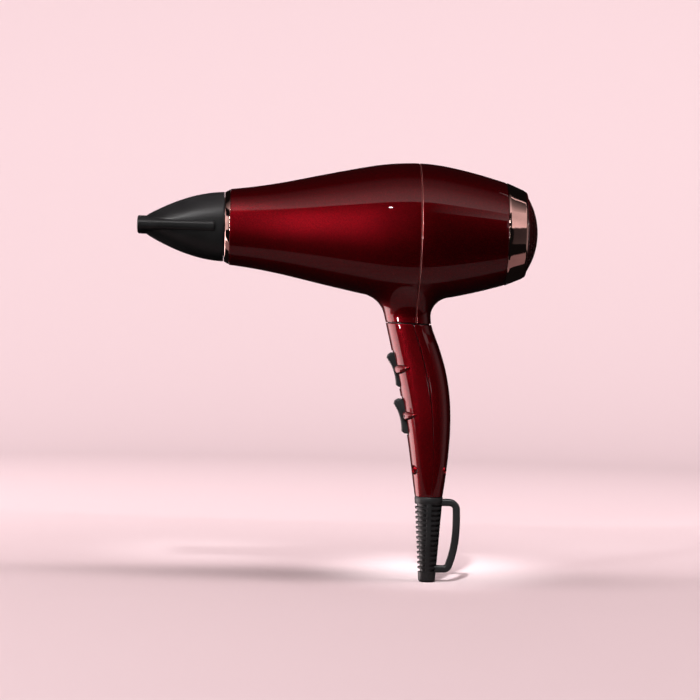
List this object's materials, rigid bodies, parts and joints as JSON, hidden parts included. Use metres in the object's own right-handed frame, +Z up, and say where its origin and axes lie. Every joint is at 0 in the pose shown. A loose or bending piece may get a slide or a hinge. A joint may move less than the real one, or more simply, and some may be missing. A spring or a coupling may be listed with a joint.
{
  "type": "hair dryer",
  "caption": "Hand-held hair dryer with a tapering round barrel, slot nozzle, curved grip with two rocker switches, and a cord sleeve with a hanging loop.",
  "frame": {"origin": "centre of the cord bore's mouth, at the foot of the strain relief", "axes": "+Z up along the strain relief towards the barrel, +X towards the air intake (the nozzle blows towards -X), +Y to the left hand of someone who looks along the air stream"},
  "size_m": [0.2711, 0.0932, 0.2846],
  "materials": {
    "black_plastic": "fine-grained matt",
    "dark_plastic": "satin",
    "grille_plastic": "dark gloss",
    "red_lacquer": "metallic deep red under clear lacquer",
    "rose_gold": "metallised mirror rose gold over plastic",
    "fine_steel": "fine woven",
    "mica": "layered mica sheet",
    "heating_wire": "oxidised resistance wire",
    "ceramic": "glazed",
    "rubber": "matt",
    "zinc_steel": "zinc plated",
    "ferrite": "dull",
    "bronze": "sintered",
    "carbon": "dull",
    "copper_winding": "enamelled copper on a laminated iron core",
    "copper_bar": "polished",
    "fan_plastic": "satin",
    "board_green": "solder mask",
    "component_body": "moulded",
    "wire_sleeve": "sleeved"
  },
  "bodies": {
    "dryer_body": {"front_trim_ring": "rose_gold", "outlet_tube": "dark_plastic", "outlet_grille": "black_plastic", "front_housing": "red_lacquer", "rear_housing": "red_lacquer", "air_duct": "dark_plastic", "heater_mica_frame": "mica", "heater_coils": "heating_wire", "heater_sleeve": "mica", "thermal_cutout": "fine_steel", "thermal_fuse": "ceramic", "motor_carrier": "dark_plastic", "motor_mount_rings": "rubber", "motor_can": "zinc_steel", "motor_end_cap": "dark_plastic", "motor_magnets": "ferrite", "motor_bushes": "bronze", "motor_brushes": "carbon", "handle_front_shell": "red_lacquer", "handle_rear_shell": "red_lacquer", "rocker_pins": "zinc_steel", "speed_switch_block": "dark_plastic", "heat_switch_block": "dark_plastic", "circuit_board": "board_green", "board_components": "component_body", "wiring_loom": "wire_sleeve", "cord_clamp": "dark_plastic", "clamp_screws": "zinc_steel", "handle_screws": "zinc_steel", "handle_sleeve_nuts": "zinc_steel", "strain_relief": "rubber"},
    "nozzle_socket": {"nozzle_socket_ring": "dark_plastic"},
    "nozzle": {"nozzle_shell": "black_plastic"},
    "intake_cap": {"rear_trim_ring": "rose_gold", "intake_grille": "grille_plastic", "filter_mesh": "fine_steel"},
    "rotor": {"motor_shaft": "zinc_steel", "armature": "copper_winding", "commutator": "copper_bar", "fan": "fan_plastic", "fan_nut": "zinc_steel"},
    "speed_switch_rocker": {"speed_rocker": "black_plastic"},
    "heat_switch_rocker": {"heat_rocker": "black_plastic"}
  },
  "joints": [
    {"name": "nozzle_pull", "type": "slide", "parent": "dryer_body", "child": "nozzle_socket", "axis": [-1, 0, 0], "range_m": [0, 0.014]},
    {"name": "nozzle_spin", "type": "hinge", "parent": "nozzle_socket", "child": "nozzle", "pos_m": [-0.15, 0, 0.238], "axis": [1, 0, 0], "continuous": true},
    {"name": "intake_cap_pull", "type": "slide", "parent": "dryer_body", "child": "intake_cap", "axis": [1, 0, 0], "range_m": [0, 0.012]},
    {"name": "fan_spin", "type": "hinge", "parent": "dryer_body", "child": "rotor", "pos_m": [0, 0, 0.238], "axis": [1, 0, 0], "continuous": true},
    {"name": "speed_rock", "type": "hinge", "parent": "dryer_body", "child": "speed_switch_rocker", "pos_m": [-0.0235, 0, 0.1443], "axis": [0, 1, 0], "range_deg": [0, 13]},
    {"name": "heat_rock", "type": "hinge", "parent": "dryer_body", "child": "heat_switch_rocker", "pos_m": [-0.0183, 0, 0.1128], "axis": [0, 1, 0], "range_deg": [0, 13]}
  ]
}
